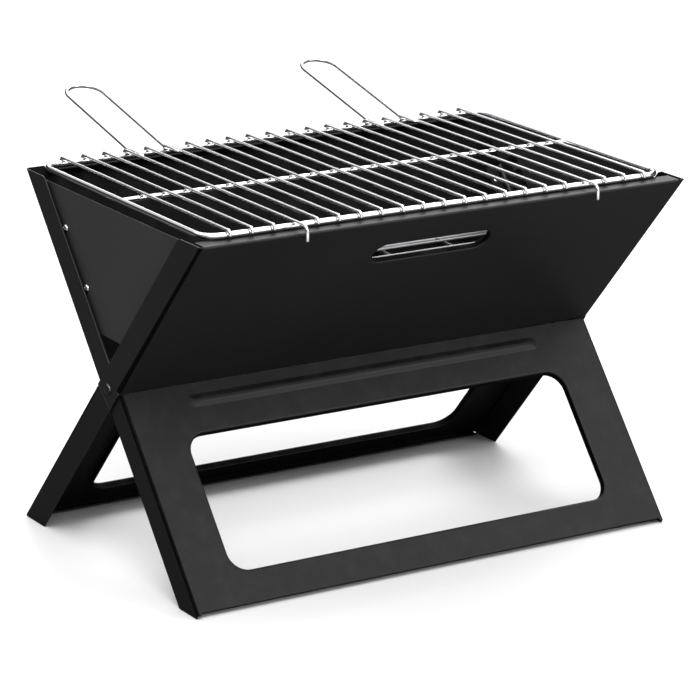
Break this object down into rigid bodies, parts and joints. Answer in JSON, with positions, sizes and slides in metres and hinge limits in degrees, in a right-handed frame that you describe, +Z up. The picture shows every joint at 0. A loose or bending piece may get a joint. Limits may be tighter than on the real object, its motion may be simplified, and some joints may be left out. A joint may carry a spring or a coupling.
{
  "type": "folding camp grill",
  "caption": "Folding charcoal camp grill: two crossed sheet-steel frames form a V trough with hinged end plates, a lift-off wire cooking grate with loop handles and a coal grate; it folds flat.",
  "frame": {"origin": "at floor level, centred under the whole grill with its handles: midway between the two end strips, and midway between the front hooks and the handle ends, which is 53.8 mm behind the pivot line", "axes": "+Z up, +X along the pivot line towards the right-hand end plate as seen from the front, -Y towards the front wall with the carry slot"},
  "size_m": [0.4552, 0.395, 0.3281],
  "materials": {
    "powder_black_wall": "satin black powder coat",
    "powder_black_leg": "satin black powder coat",
    "powder_black_plate": "matt black powder coat",
    "chrome_wire": "bright chromed wire",
    "zinc_wire": "dull plated wire",
    "steel_fastener": "bright zinc plate",
    "steel_hinge": "blackened steel"
  },
  "bodies": {
    "inner_frame": {"rear_wall": "powder_black_wall", "front_leg": "powder_black_leg", "hinge_wall_leaf_left": "steel_hinge", "hinge_pin_left": "steel_hinge", "hinge_rivets_left": "steel_fastener", "pivot_bolt_left": "steel_hinge", "pivot_nut_left": "steel_fastener", "pivot_washer_left": "steel_fastener", "hinge_wall_leaf_right": "steel_hinge", "hinge_pin_right": "steel_hinge", "hinge_rivets_right": "steel_fastener", "pivot_bolt_right": "steel_hinge", "pivot_nut_right": "steel_fastener", "pivot_washer_right": "steel_fastener"},
    "outer_frame": {"front_wall": "powder_black_wall", "rear_leg": "powder_black_leg"},
    "cooking_grate": {"grate_frame": "chrome_wire", "grate_bars": "chrome_wire", "grate_hook_bars": "chrome_wire", "grate_support_rod": "chrome_wire", "grate_handle_left": "chrome_wire", "grate_handle_right": "chrome_wire"},
    "coal_grate": {"coal_grate_frame": "zinc_wire", "coal_grate_bars": "zinc_wire", "coal_grate_cross_bars": "zinc_wire"},
    "hinge_turn_left": {"hinge_washer_left": "steel_hinge"},
    "end_plate_left": {"end_plate_left": "powder_black_plate", "hinge_plate_leaf_left": "steel_hinge", "hinge_screws_left": "steel_fastener", "hinge_nuts_left": "steel_fastener"},
    "hinge_turn_right": {"hinge_washer_right": "steel_hinge"},
    "end_plate_right": {"end_plate_right": "powder_black_plate", "hinge_plate_leaf_right": "steel_hinge", "hinge_screws_right": "steel_fastener", "hinge_nuts_right": "steel_fastener"}
  },
  "joints": [
    {"name": "fold", "type": "hinge", "parent": "inner_frame", "child": "outer_frame", "pos_m": [0, -0.0538, 0.146], "axis": [-1, 0, 0], "range_deg": [0, 79]},
    {"name": "cooking_grate_lift", "type": "slide", "parent": "inner_frame", "child": "cooking_grate", "axis": [0, 0, 1], "range_m": [0, 0.7]},
    {"name": "coal_grate_lift", "type": "slide", "parent": "inner_frame", "child": "coal_grate", "axis": [0, 0, 1], "range_m": [0, 0.56]},
    {"name": "end_plate_fold_left", "type": "hinge", "parent": "inner_frame", "child": "hinge_turn_left", "pos_m": [-0.2152, 0.02261, 0.22352], "axis": [0, 0.6428, 0.766], "range_deg": [0, 90]},
    {"name": "end_plate_lift_left", "type": "slide", "parent": "hinge_turn_left", "child": "end_plate_left", "axis": [0, 0.6428, 0.766], "range_m": [0, 0.84]},
    {"name": "end_plate_fold_right", "type": "hinge", "parent": "inner_frame", "child": "hinge_turn_right", "pos_m": [0.2152, 0.02261, 0.22352], "axis": [0, -0.6428, -0.766], "range_deg": [0, 90]},
    {"name": "end_plate_lift_right", "type": "slide", "parent": "hinge_turn_right", "child": "end_plate_right", "axis": [0, 0.6428, 0.766], "range_m": [0, 0.84]}
  ],
  "couplings": [
    {"joint": "cooking_grate_lift", "follows": "fold", "m_per_rad": 0.5},
    {"joint": "coal_grate_lift", "follows": "fold", "m_per_rad": 0.4},
    {"joint": "end_plate_fold_left", "follows": "fold", "ratio": 1.13},
    {"joint": "end_plate_lift_left", "follows": "fold", "m_per_rad": 0.6},
    {"joint": "end_plate_fold_right", "follows": "fold", "ratio": 1.13},
    {"joint": "end_plate_lift_right", "follows": "fold", "m_per_rad": 0.6}
  ]
}
